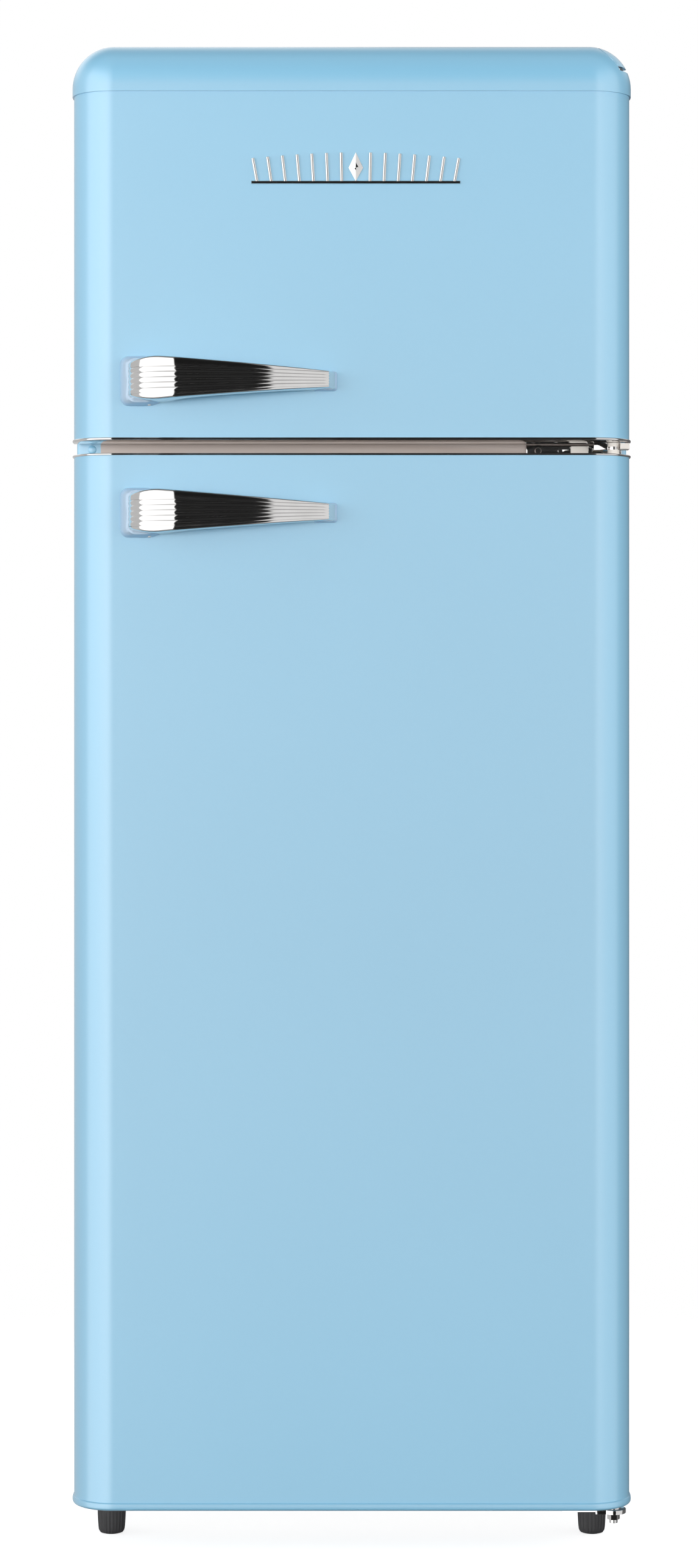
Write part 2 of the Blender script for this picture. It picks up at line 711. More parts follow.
def ridge_bar(p0, p1, width, y0, base_h, round_h):
    """Half-round bar between two points of the door face."""
    a, b = Vector((p0[0], 0, p0[1])), Vector((p1[0], 0, p1[1]))
    along = (b - a).normalized()
    side = Vector((along.z, 0, -along.x))
    length = (b - a).length
    section = [(1, 0)]
    for i in range(11):
        t = math.radians(18 * i)
        section.append((math.cos(t), base_h + round_h * math.sin(t)))
    section.append((-1, 0))
    rings = []
    for s, k in ((0, 0.62), (0.5 * MM, 1), (length - 0.5 * MM, 1), (length, 0.62)):
        centre = a + along * s
        rings.append([centre + side * (width / 2 * u) + Vector((0, y0 - h * k, 0)) for u, h in section])
    return loft(rings)


def ornament():
    """Chrome ribs on a rail around a lozenge."""
    lo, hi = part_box("badge_ornament")
    xc, y0 = (lo.x + hi.x) / 2, hi.y
    z_mid = lo.z + 14.6 * MM
    count, pitch, width = 7, 13.6 * MM, 3.4 * MM
    rail_z = z_mid - 13.05 * MM
    parts = [ridge_bar((lo.x, rail_z), (hi.x, rail_z), 3.1 * MM, y0, 1.4 * MM, 1.4 * MM)]
    for i in range(-count, count + 1):
        if i:
            foot = xc + i * pitch
            top_z = z_mid + (9 + 7 * math.cos(math.radians(11 * i))) * MM
            ends = (foot, z_mid - 12.5 * MM), (foot + 0.6 * MM * i, top_z)
            parts.append(ridge_bar(*ends, width, y0, 1.3 * MM, 1.5 * MM))
    diamond = [(-7, 1), (0, -12), (7, 1), (0, 16)]
    rings = [[(xc + x * k * MM, y0 - d * MM, z_mid + (1 + (z - 1) * k) * MM) for x, z in diamond]
             for k, d in ((1, 0), (1, 1.0), (0.92, 1.3), (0.05, 3.0))]
    parts.append(loft(rings))
    new_piece("crest_ornament", *join(*parts), "freezer_door", "chrome", ("badge_ornament",), 30)


# ---------------------------------------------------------------- cabinet

def cabinet_shell():
    """Wrapped steel cabinet: one section swept up one side, over the top and down the other."""
    node = "cabinet_shell"
    lo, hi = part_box(node)
    hw, r, t, front = hi.x, 39 * MM, 1 * MM, 23.4 * MM
    section = [(front, lo.y + t), (front, lo.y)] + [(g, lo.y + y) for g, y in arc_levels(3 * MM)[::-1]]
    section += [(g, hi.y - y) for g, y in arc_levels(3 * MM)]
    section += [(12 * MM, hi.y), (12 * MM, hi.y - t), (t, hi.y - t), (t, lo.y + t)]
    path = [(-1, 0, 180), (-1, 1, 180)] + [(-1, 2, 180 - 90 * i / 14) for i in range(15)]
    path += [(1, 2, 90 - 90 * i / 14) for i in range(15)] + [(1, 1, 0), (1, 0, 0)]
    rings = []
    for side, kind, angle in path:
        a = math.radians(angle)
        ring = []
        for g, y in section:
            if kind == 2:
                x, z = side * (hw - r) + (r - g) * math.cos(a), hi.z - r + (r - g) * math.sin(a)
            else:
                x, z = side * (hw - g), lo.z if kind == 0 else hi.z - r - 1 * MM
            ring.append((x, y, z))
        rings.append(ring)
    hems = []
    for s in (-1, 1):
        x = s * (hw - 7.5 * MM)
        ends = (x - 7 * MM, lo.y + 2 * t, lo.z), (x + 7 * MM, hi.y - 2 * t, lo.z + t)
        hems.append(soft_block(*ends, "z", 1, 0.3, 2, 1))
    new_piece("cabinet_wrapper", *join(loft(rings), *hems), "cabinet", "blue_paint", (node,), 40)


def back_panel():
    """Rear sheet with a pressed bead around it and pan-head screws along its edges."""
    node = "back_panel"
    lo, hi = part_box(node)
    r = 33 * MM
    bead = [(0, 0), (0, 1), (14, 1), (17, 1.8), (20, 3.6), (23, 4.2), (31, 4.2), (34, 3.6), (37, 1.8), (40, 1)]
    rows = []
    for g, d in bead:
        g *= MM
        radii = (max(r - g, 6 * MM), max(0.5 * MM, min(g, 6 * MM)))
        rows.append((lo.x + g, hi.x - g, lo.z + g, hi.z - g, radii, lo.y + d * MM))
    new_piece("rear_sheet", *rect_loft(rows, "y", 8), "cabinet", "grey_steel", (node,), 40)
    places = [(s * (hi.x - 6.5 * MM), lo.z + (60 + 180 * i) * MM) for s in (-1, 1) for i in range(6)]
    places += [(x * MM, hi.z - 6.5 * MM) for x in (-180, -60, 60, 180)]
    heads = join(*[screw_head((x, hi.y, z), "y", 3.6, 2, 1) for x, z in places])
    new_piece("rear_sheet_screws", *heads, "cabinet", "grey_steel")


def screw_head(at, axis, r, h, sign):
    """Domed head with a cross recess, of radius r and height h in millimetres, standing from its seat."""
    profile = [(0.1, 0), (1, 0), (1, 0.35), (0.86, 0.78), (0.6, 1), (0.56, 1), (0.5, 0.45), (0.05, 0.4)]

    def cross(a, row):
        return 1 if row < 5 or round(math.degrees(a)) % 90 == 0 else 0.4
    return turn([(a * r, sign * w * h) for a, w in profile], at, axis, 16, cross)


def liner_shell(name, node, flange, cavity, wall, extra):
    """Vacuum-formed liner: front flange, lip, cavity walls and back, with an even wall."""
    stations = flange + cavity
    outer = [(u0 - wall, u1 + wall, v0 - wall, v1 + wall, r, w + wall) for u0, u1, v0, v1, r, w in cavity]
    u0, u1, v0, v1, r, w = flange[0]
    outer.insert(0, (u0, u1, v0, v1, r, w + wall))
    sheet = join(rect_loft(outer[::-1] + stations, "y", 8), *extra)
    new_piece(name, *sheet, "cabinet", "white_liner", (node,), 40)


def ledge(x, half, y, top, r):
    """Rail on a liner wall that carries a shelf."""
    return soft_block((x - half, y[0], top - 6 * MM), (x + half, y[1], top), "y", r, r, 3, 2)


def lip(u0, u1, v0, v1, r, y, radius):
    """Stations of a rounded lip that turns from a front face into a cavity."""
    return [(u0 - g, u1 + g, v0 - g, v1 + g, r + g, y + d) for g, d in arc_levels(radius)[::-1]]


def freezer_liner():
    lo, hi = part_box("freezer_liner")
    wall, hw, z0, z1, back = 2 * MM, 222 * MM, 1110 * MM, 1385 * MM, hi.y - 2 * MM
    flange = [(lo.x, hi.x, lo.z, hi.z, (15.6 * MM, 0.5 * MM), lo.y)]
    cavity = lip(-hw, hw, z0, z1, 16 * MM, lo.y, 5 * MM)
    cavity += [(-hw + g, hw - g, z0 + g, z1 - g, 16 * MM, back - d) for g, d in arc_levels(12 * MM)]
    ledges = [ledge(s * (hw - 3 * MM), 3 * MM, (lo.y + 60 * MM, back - 5 * MM), 1.25, 1.5) for s in (-1, 1)]
    liner_shell("freezer_liner_shell", "freezer_liner", flange, cavity, wall, ledges)


def fridge_liner():
    """Liner with the raised floor over the machine space, shelf ledges and the switch housing."""
    lo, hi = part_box("fridge_liner")
    wall, hw, z0, z1, back = 2 * MM, 227 * MM, 100 * MM, 1030 * MM, hi.y - 2 * MM
    step_y, step_z, r = 45 * MM, 330 * MM, 14 * MM
    flange = [(lo.x, hi.x, lo.z, hi.z, 0.5 * MM, lo.y)]
    cavity = lip(-hw, hw, z0, z1, r, lo.y, 5 * MM)
    cavity += [(-hw, hw, z0 + g, z1, r, step_y - 1 * MM - d) for g, d in arc_levels(12 * MM)]
    cavity += [(-hw, hw, step_z - d, z1, r, step_y + g) for g, d in arc_levels(6 * MM)]
    cavity += [(-hw + g, hw - g, step_z + g, z1 - g, r, back - d) for g, d in arc_levels(12 * MM)]
    ledges = []
    for z, y1 in ((500, 200), (670, 200), (840, 200), (330, 45)):
        for s in (-1, 1):
            ledges.append(ledge(s * (hw - 5 * MM), 5 * MM, (lo.y + 113 * MM, y1 * MM), z * MM, 2))
    liner_shell("fridge_liner_shell", "fridge_liner", flange, cavity, wall, ledges)


def lamp_switch():
    """Plunger in its block under the fridge ceiling."""
    lo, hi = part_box("light_switch")
    housing_lo, housing_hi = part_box("thermostat_housing")
    x, z, front, top = (lo.x + hi.x) / 2, (lo.z + hi.z) / 2, housing_lo.y, housing_hi.z
    block = soft_block((x - 12 * MM, front, z - 11 * MM), (x + 12 * MM, front + 36 * MM, top), "y", 4, 2)
    piece = new_piece("switch_housing", *block, "cabinet", "white_plastic", (), 40)
    bore = turn([(5.3, -10), (5.3, 29)], (x, front, z), "y", 32)
    boolean(piece, loose_object("bore", *bore), "DIFFERENCE")
    plunger = turn([(3.4, 0), (4.3, 0.5), (5, 1.8), (5, (hi.y - lo.y) / MM)], (x, lo.y, z), "y", 32)
    new_piece("switch_plunger", *plunger, "light_switch", "white_plastic", ("light_switch",))


# ---------------------------------------------------------------- door insides

BELLOWS = [(3, 0), (13, 0), (13.6, 2.2), (12, 3.6), (13.8, 5), (16, 6.2), (16, 8.7), (15, 9.7),
           (1, 9.7), (0, 8.7), (0, 6.2), (2.2, 5), (4, 3.6), (2.4, 2.2)]


def gasket(name, node, body):
    """Folded magnetic gasket, mitred round the door as one closed loop."""
    lo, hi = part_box(node)
    rows = sheet_rows(lo, hi, [(g, d, max(8 - g, 0.5)) for g, d in BELLOWS])
    new_piece(name, *rect_loft(rows, "y", 5, loop=True), body, "gasket_rubber", (node,), 50)


def door_liner(name, node, body, ring_z):
    """Inner door panel with its raised ring, all corners rounded as vacuum forming leaves them."""
    lo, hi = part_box(node)
    plate, top, z0, z1 = lo.y + 1.5 * MM, hi.y, ring_z[0] * MM, ring_z[1] * MM
    rows = [(lo.x, hi.x, lo.z, hi.z, 8 * MM, lo.y), (lo.x, hi.x, lo.z, hi.z, 8 * MM, plate - 0.6 * MM),
            (lo.x + 0.8 * MM, hi.x - 0.8 * MM, lo.z + 0.8 * MM, hi.z - 0.8 * MM, 8 * MM, plate)]
    half = 213 * MM
    rise = [(-4, 0), (-1.4, 0.9), (-0.3, 3.2), (0, 6), (0.3, 38.5), (0.9, 41), (2.2, 42.4), (4.2, 43),
            (20.8, 43), (22.8, 42.4), (24.1, 41), (24.7, 38.5), (25, 6), (25.3, 3.2), (26.4, 0.9), (29, 0)]
    ring = [(g, d, max(22 - g, 3)) for g, d in rise] + [(60, 0, 12), (64, -0.9, 10)]
    rows += sheet_rows(Vector((-half, plate, z0)), Vector((half, plate, z1)), ring)
    sheet = rect_loft([(*row, min(w, top)) for *row, w in rows], "y", 7)
    new_piece(name, *sheet, body, "white_liner", (node,), 40)


def door_foam(node, panel, body, ring_z):
    """Foam of a door; the part inside the ring gets round corners, like the ring itself."""
    lo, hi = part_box(node)
    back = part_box(panel)[0].y + 1 * MM
    wide = (lo.x - 5 * MM, hi.x + 5 * MM, lo.z - 5 * MM, hi.z + 5 * MM, 1 * MM)
    ring = (-211 * MM, 211 * MM, (ring_z[0] + 2) * MM, (ring_z[1] - 2) * MM, 21 * MM)
    cutter = rect_loft([(*wide, lo.y - 5 * MM), (*wide, back), (*ring, back), (*ring, hi.y + 5 * MM)], "y")
    piece = register(frame["nodes"][node].data.copy(), node + "_rounded", body, "foam", (node,))
    boolean(piece, loose_object("ring_cutter", *cutter), "INTERSECT")


def door_racks(name, node, body, spaces):
    """Moulded racks with a rolled rim, a front band and upright ribs."""
    lo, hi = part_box(node)
    boxes = {o["name"]: o["box_m"] for o in frame["record"]["physics"]["openings"]}
    parts = []
    for space in spaces:
        a, b = boxes[space]
        z0, z1 = a[2] - 4 * MM, b[2] + 1 * MM
        parts.append(tray((lo.x, lo.y, z0), (hi.x, hi.y, z1), 2, 14, 6, "z", 2.5))
        for x in range(-160, 161, 20):
            x0, x1 = (x - 1.2) * MM, (x + 1.2) * MM
            ends = (x0, hi.y - 2.6 * MM, z0 + 9 * MM), (x1, hi.y - 0.1 * MM, z1 - 6 * MM)
            parts.append(soft_block(*ends, "z", 1, 0.8, 2, 1))
    new_piece(name, *join(*parts), body, "clear_plastic", (node,), 40)


# ---------------------------------------------------------------- fittings inside

def glass_shelf(name, node):
    lo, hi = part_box(node)
    glass = soft_block(lo + mm(0, 8, 5), (hi.x, hi.y, lo.z + 9 * MM), "z", 3, 0.8)
    new_piece(name + "_glass", *glass, "cabinet", "shelf_glass", (node,))
    profile = [(0, 1.5), (0.6, 0.4), (2, 0), (11.5, 0), (13, 1), (13, 4.6), (8.1, 4.6), (8.1, 9.4),
               (13, 9.4), (13, 11.6), (11.8, 13), (2.4, 13), (0.7, 12.2), (0, 10.6)]
    rings = [[(x, lo.y + (6.5 + (y - 6.5) * k) * MM, lo.z + (6.5 + (z - 6.5) * k) * MM) for y, z in profile]
             for x, k in ((lo.x, 0.9), (lo.x + 0.8 * MM, 1), (hi.x - 0.8 * MM, 1), (hi.x, 0.9))]
    new_piece(name + "_front_strip", *loft(rings), "cabinet", "white_plastic")


def wire_shelf():
    lo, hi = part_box("freezer_shelf")
    z = lo.z + 2.5 * MM
    parts = []
    a, b = lo + mm(2.5, 4.5, 0), hi - mm(2.5, 4.5, 0)
    edge = [(x, y, z) for x, y in round_rect(a.x, b.x, a.y, b.y, 14 * MM, 6)]
    parts.append(tube(edge + edge[:2], 2.5 * MM, 12))
    mid = (lo.y + hi.y) / 2
    parts.append(tube([(lo.x + 3 * MM, mid, z), (hi.x - 3 * MM, mid, z)], 2.5 * MM, 12))
    for i in range(21):
        x = lo.x + 12 * MM + i * (hi.x - lo.x - 24 * MM) / 20
        top = z + 3.2 * MM
        y0, y1 = lo.y + 1.5 * MM, hi.y - 1.5 * MM
        route = round_route([(x, y1, z), (x, y1, top), (x, y0, top), (x, y0, z)], 2 * MM, 4)
        parts.append(tube(route, 1.5 * MM, 8))
    new_piece("freezer_wire_shelf", *join(*parts), "cabinet", "white_wire", ("freezer_shelf",), 60)


def crisper():
    lo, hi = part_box("crisper_drawer")
    box = tray(lo + mm(0, 10, 0), hi, 2.5, 16, 8)
    corners = Vector((-0.06, lo.y, hi.z - 14 * MM)), Vector((0.06, lo.y, hi.z - 4 * MM))
    steps = [(2.5, 0), (0.8, 0.8), (0, 2.5), (0, 8), (3, 10.5)]
    pull = rect_loft(sheet_rows(*corners, [(g, d, 4) for g, d in steps]), "y")
    ribs = []
    for x in range(-192, 193, 16):
        x0, x1 = (x - 1.2) * MM, (x + 1.2) * MM
        ends = (x0, lo.y + 9.2 * MM, lo.z + 14 * MM), (x1, lo.y + 11 * MM, hi.z - 22 * MM)
        ribs.append(soft_block(*ends, "z", 0.8, 0.6, 2, 1))
    new_piece("crisper_bin", *join(box, pull, *ribs), "cabinet", "clear_plastic", ("crisper_drawer",), 40)
    lo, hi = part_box("crisper_cover")
    plate = soft_block(lo, hi, "z", 3, 0.8)
    new_piece("crisper_cover_glass", *plate, "cabinet", "shelf_glass", ("crisper_cover",))


def thermostat():
    """Housing with a marked dial, the knob, the ribbed lamp cover and the lamp."""
    lo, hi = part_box("lamp_cover")
    lo = Vector((lo.x, hi.y, lo.z - 10 * MM))
    hi = Vector((hi.x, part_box("thermostat_housing")[1].y, hi.z + 10 * MM))
    housing = tray(lo, hi, 2, 8, 5, "x")
    joint = next(j for j in frame["joints"] if j["name"] == "thermostat_turn")
    jx, jy, jz = joint["pos_m"]
    marks = []
    for i in range(9):
        a = math.radians(240 - 37.5 * i)
        size = (1.2 + 0.45 * i) * MM
        for k in range(-1, 2):
            if i % 2 == 0 or k == 0:
                c, d = math.cos(a + k * 0.045), math.sin(a + k * 0.045)
                reach = 22.5 * MM, 23.5 * MM + size
                marks.append(tube([(lo.x + 0.1 * MM, jy + q * c, jz + q * d) for q in reach], 0.55 * MM, 6))
    new_piece("thermostat_box", *housing, "cabinet", "white_plastic", ("thermostat_housing",), 40)
    new_piece("dial_marks", *join(*marks), "cabinet", "white_plastic", look=LOOKS["black_plastic"])
    klo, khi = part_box("thermostat_knob")
    r = (khi.y - klo.y) / 2 / MM
    front = (klo.x - jx) / MM + 4
    face = [(0.2, 0.5), (0.7, 0.4), (0.88, 0), (0.95, 0.5), (1, 2), (1, 9), (0.97, 9.6)]
    profile = [(k * r, front + w) for k, w in face] + [(0.97 * r, -0.3), (3, -0.3), (3, (khi.x - jx) / MM)]

    def grip(a, row):
        return 1 - 0.03 * (0.5 + 0.5 * math.cos(30 * a)) if row in (4, 5) else 1
    knob = turn(profile, (jx, jy, jz), "x", 120, grip)
    middle = Vector((klo.x, jy, jz))
    bar = soft_block(middle - mm(0, 3, 16), middle + mm(5, 3, 16), "x", 2.6, 1.2)
    new_piece("thermostat_dial", *join(knob, bar), "thermostat_knob", "grey_plastic", ("thermostat_knob",), 35)
    lo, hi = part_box("lamp_cover")
    cover = tray(lo, hi + mm(0, 0.5, 0), 2, 8, 6, "x")
    ends = [(lo + mm(-0.9, 6, z), Vector((lo.x, hi.y, lo.z)) + mm(1, -5, z + 3)) for z in range(10, 90, 8)]
    ribs = [soft_block(*pair, "y", 1.2, 1.2, 3, 2) for pair in ends]
    new_piece("lamp_lens", *join(cover, *ribs), "cabinet", "frosted_plastic", ("lamp_cover",), 40)
    lo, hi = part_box("lamp_bulb")
    centre = ((lo.x + hi.x) / 2, lo.y + 12 * MM, (lo.z + hi.z) / 2)
    globe = [(12 * math.sin(math.radians(a)), -12 * math.cos(math.radians(a))) for a in range(0, 141, 10)]
    globe = turn(globe + [(6.6, 13), (6.6, 16), (0, 16)], centre, "y", 32)
    new_piece("lamp_globe", *globe, "cabinet", "bulb_glass", ("lamp_bulb",))
    thread = [(6.9 - 0.7 * (i % 2), 15.5 + 1.2 * i) for i in range(18)]
    base = turn([(0, 15.5)] + thread + [(3, 38), (0, 38)], centre, "y", 32)
    new_piece("lamp_base", *base, "cabinet", "bulb_glass", look=LOOKS["grey_steel"])


# ---------------------------------------------------------------- machine space and back

def lathed(name, profile, centre, axis, body, slot, replaces=(), steps=48, wobble=None, deg=35, look=None):
    """Turned piece with its profile in millimetres."""
    new_piece(name, *turn(profile, centre, axis, steps, wobble), body, slot, replaces, deg, look)


def open_ends(shape, rows, steps):
    """Turn the two end caps of a turned shape into a bore that joins its first and last row."""
    verts, faces = shape
    last = (rows - 1) * steps
    return verts, faces[:-2] + [(last + k, last + (k + 1) % steps, (k + 1) % steps, k) for k in range(steps)]


def compressor():
    """Drawn steel can with its weld flange, base plate, rubber mounts and terminal cover."""
    lo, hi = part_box("compressor_shell")
    cx, cy = (lo.x + hi.x) / 2, (lo.y + hi.y) / 2
    curve = [(math.cos(math.radians(a)), math.sin(math.radians(a))) for a in range(0, 91, 9)]
    dome = [(37.1 + 34 * c, 58 + 34 * d) for c, d in curve]
    low = [(37.1 + 34 * c, -44 - 34 * d) for c, d in curve[::-1]]
    flange = [(71.1, -4), (71.4, -3.5), (72, -3), (72, 3), (71.2, 3.6), (71.1, 4)]
    profile = [(0.1, -78)] + low + flange + dome + [(0.1, 92)]
    lathed("compressor_can", profile, (cx, cy, 0.140), "z", "cabinet", "black_paint",
           ("compressor_shell",), 72)
    a, b = lo + mm(0, 10, 0), hi - mm(0, 10, 0)
    foot = rect_loft([(a.x + g * MM, b.x - g * MM, a.y + g * MM, b.y - g * MM, 14 * MM, z * MM)
                      for g, z in ((1, 58), (0, 58.8), (0, 61.2), (1, 62))], "z")
    new_piece("compressor_base", *foot, "cabinet", "black_paint")
    places = [(cx + sx * 70 * MM, cy + sy * 48 * MM) for sx in (-1, 1) for sy in (-1, 1)]
    rubber = [(9.5, 0), (11, 1), (11, 4), (8.4, 5.5), (8.4, 7.5), (11, 9), (11, 13), (9.6, 14.5), (3, 14.5), (3, 0)]
    bolt = [(5.6, 0), (5.6, 0.8), (3.1, 1), (3.1, 3), (2.6, 3.6), (0.1, 3.6)]
    grommets = join(*[turn(rubber, (x, y, 43.5 * MM), "z", 32) for x, y in places])
    new_piece("compressor_grommets", *grommets, "cabinet", "black_rubber", ("compressor_mounts",), 50)
    bolts = join(*[turn(bolt, (x, y, 62 * MM), "z", 24) for x, y in places])
    new_piece("compressor_bolts", *bolts, "cabinet", "grey_steel")
    lo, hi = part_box("relay_cover")
    cover = soft_block(lo, hi, "z", 5, 2.5)
    clip = soft_block(lo + mm(8, -1, 20), Vector((lo.x, hi.y, lo.z)) + mm(20, 1, 24), "z", 1, 0.6)
    new_piece("terminal_cover", *join(cover, clip), "cabinet", "black_plastic", ("relay_cover",))
    lo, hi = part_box("evaporation_tray")
    new_piece("drip_tray", *tray(lo, hi, 2, 12, 5), "cabinet", "black_plastic", ("evaporation_tray",), 40)
    lo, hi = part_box("filter_drier")
    can = [(0.1, 0), (3.4, 0), (3.6, 4), (5, 8), (8.4, 13), (9, 16),
           (9, 84), (8.4, 87), (5, 92), (3.6, 96), (3.4, 100), (0.1, 100)]
    foot = ((lo.x + hi.x) / 2, (lo.y + hi.y) / 2, lo.z)
    lathed("drier_can", can, foot, "z", "cabinet", "copper", ("filter_drier",), 32)


def condenser():
    """Black serpentine tube with straight wires welded on both sides."""
    lo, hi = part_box("condenser_coil")
    y, runs, pitch, half = (lo.y + hi.y) / 2, 16, 60 * MM, 200 * MM
    z0 = lo.z + 12 * MM
    path = [(-half, y, z0)]
    for i in range(runs):
        z, side = z0 + i * pitch, 1 if i % 2 == 0 else -1
        path.append((side * half, y, z))
        if i < runs - 1:
            bend = [(math.sin(math.radians(a)), 1 - math.cos(math.radians(a))) for a in range(15, 181, 15)]
            path += [(side * (half + pitch / 2 * c), y, z + pitch / 2 * d) for c, d in bend]
    new_piece("condenser_tube", *tube(path, 2.5 * MM, 10), "cabinet", "black_paint", ("condenser_coil",), 60)
    wires = [tube([(x * MM, y + s * 3.4 * MM, lo.z), (x * MM, y + s * 3.4 * MM, hi.z)], 0.8 * MM, 6)
             for x in range(-180, 181, 12) for s in (-1, 1)]
    new_piece("condenser_wires", *join(*wires), "cabinet", "black_paint", (), 60)


def pipes():
    """Bent copper lines between the compressor, the condenser and the drier."""
    node = "refrigerant_pipes"
    coil_lo, coil_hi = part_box("condenser_coil")
    shell_lo, shell_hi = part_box("compressor_shell")
    drier_lo, drier_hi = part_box("filter_drier")
    cx, cy = (shell_lo.x + shell_hi.x) / 2, (shell_lo.y + shell_hi.y) / 2
    y, end, bottom, top = (coil_lo.y + coil_hi.y) / 2, -0.2002, coil_lo.z + 12 * MM, coil_lo.z + 912 * MM
    dx, dy, port, roof = (drier_lo.x + drier_hi.x) / 2, (drier_lo.y + drier_hi.y) / 2, 0.110, 0.2798
    runs = [
        ([(cx - 73 * MM, cy, port), (-0.175, cy, port), (-0.175, y, port), (-0.175, y, bottom - 0.03),
          (end - 0.03, y, bottom - 0.03), (end - 0.03, y, bottom), (end, y, bottom)], 2.5, 12),
        ([(end, y, top), (-0.240, y, top), (-0.240, y, 0.262), (dx, y, 0.262), (dx, dy, 0.262),
          (dx, dy, drier_hi.z + 0.2 * MM)], 2.5, 9),
        ([(dx, dy, drier_lo.z - 0.2 * MM), (dx, dy, 0.128), (dx, 0.150, 0.128), (dx, 0.150, roof)], 1.2, 10),
        ([(cx, cy - 73 * MM, port), (cx, 0.104, port), (0.120, 0.104, port), (0.120, 0.104, roof)], 3, 5),
    ]
    tubes = [tube(round_route(points, bend * MM, 7), r * MM, 14) for points, r, bend in runs]
    new_piece("copper_lines", *join(*tubes), "cabinet", "copper", (node,), 60)


# ---------------------------------------------------------------- feet, rollers and hinge hardware

def feet_and_rollers():
    def ribs(a, row):
        return 1 - 0.045 * (0.5 + 0.5 * math.cos(24 * a)) if 3 <= row <= 7 else 1
    foot = [(0.1, 0), (9, 0), (11.4, 0.8), (12.7, 2.8), (13.2, 6), (13.6, 12), (13.9, 18), (14, 22),
            (14, 24.6), (13.4, 26.6), (12, 28), (5, 28)]
    stud = [(5.05 - 0.7 * (i % 2), 28 + 0.9 * i) for i in range(47)] + [(0.1, 70)]
    tread = [(3.1, -7), (6, -7), (6.5, -5.4), (11.5, -5.4), (12, -7), (13.8, -7), (15, -5.6)]
    tread += [(r, -w) for r, w in tread[::-1]]
    for side in ("left", "right"):
        body = node = "front_foot_" + side
        lo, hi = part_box(node)
        centre = ((lo.x + hi.x) / 2, (lo.y + hi.y) / 2, lo.z)
        lathed(node + "_pad", foot, centre, "z", body, "foot_plastic", (node,), 144, ribs, 30)
        lathed(node + "_stud", [(0.1, 28)] + stud, centre, "z", body, "foot_plastic", (), 24,
               look=LOOKS["grey_steel"])
        body = node = "rear_roller_" + side
        lo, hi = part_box(node)
        wheel = open_ends(turn(tread, (lo + hi) / 2, "x", 56), len(tread), 56)
        new_piece(node + "_wheel", *wheel, body, "foot_plastic", (node,))


def softened(node, slot, width):
    """Copy of a CAD node with its flat faces merged and its sharp edges rounded."""
    mesh = frame["nodes"][node].data.copy()

    def soften(bm):
        bmesh.ops.remove_doubles(bm, verts=bm.verts, dist=1e-6)
        bmesh.ops.dissolve_limit(bm, angle_limit=math.radians(1), verts=bm.verts, edges=bm.edges)
        edges = [e for e in bm.edges if e.is_manifold and e.calc_face_angle(0) > math.radians(40)]
        bmesh.ops.bevel(bm, geom=edges, offset=width, segments=2, profile=0.6, affect="EDGES",
                        clamp_overlap=True)
        tidy_mesh(bm, 32)
    edit(mesh, soften)
    mesh.materials.clear()
    register(mesh, node + "_formed", "cabinet", slot, (node,))


def hardware():
    """Hinge plates, screws, nut, plugs and the folded sheet parts around the machine space."""
    for node, slot, width in (
            ("top_hinge", "chrome", 0.5), ("middle_hinge", "chrome", 0.4), ("bottom_hinge", "chrome", 0.6),
            ("base_frame", "grey_steel", 0.35), ("compressor_deck", "grey_steel", 0.35),
            ("mullion_rail", "greige_paint", 0.3), ("condenser_straps", "black_paint", 0.4)):
        softened(node, slot, width * MM)
    lo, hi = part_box("hinge_hole_plugs")
    dome = [(0.1, -1.6), (2.2, -1.5), (3.4, -1.1), (4, -0.5), (4.2, 0), (3, 0), (2.8, 7), (2.2, 8), (0.1, 8)]
    x = (lo.x + hi.x) / 2
    heights = lo.z + 4.2 * MM, 1.0716, hi.z - 4.2 * MM
    plugs = [turn(dome, (x, lo.y + 1.6 * MM, z), "y", 32) for z in heights]
    new_piece("hole_plugs", *join(*plugs), "cabinet", "blue_plastic", ("hinge_hole_plugs",), 50)
    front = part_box("middle_hinge")[1].y - 2.5 * MM
    heads = [screw_head((x * MM, front, z * MM), "y", 3.4, 2.2, -1)
             for x, z in ((183, 1070.3), (213, 60), (237, 60))]
    new_piece("hinge_screw_heads", *join(*heads), "cabinet", "chrome", (), 30, NICKEL)
    lo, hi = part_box("mains_gland")
    gx, gz = (lo.x + hi.x) / 2, (lo.z + hi.z) / 2
    gland = [(4, 0), (6.6, 0), (7, 0.5), (7, 8), (10, 8), (10, 12), (7, 12), (7, 13), (10, 13),
             (9.6, 15.6), (7.4, 16), (6.4, 19.6), (5.8, 20), (4, 20)]
    grommet = open_ends(turn(gland, (gx, lo.y, gz), "y", 32), len(gland), 32)
    new_piece("cord_grommet", *grommet, "cabinet", "black_rubber", ("mains_gland",))


# ---------------------------------------------------------------- camera, light and floor

def make_camera():
    """Level camera at the photograph's height and distance in front of the doors."""
    distance, height = 3.2, 0.816
    cam = bpy.data.cameras.new("camera")
    cam.sensor_width = 36
    cam.lens = 76.1
    cam.shift_x, cam.shift_y = -0.0017, -0.0474
    obj = new_object("camera", cam)
    obj.location = (0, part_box("fridge_door_skin")[0].y - distance, height)
    obj.rotation_euler = (math.radians(90), 0, 0)
    bpy.context.scene.camera = obj


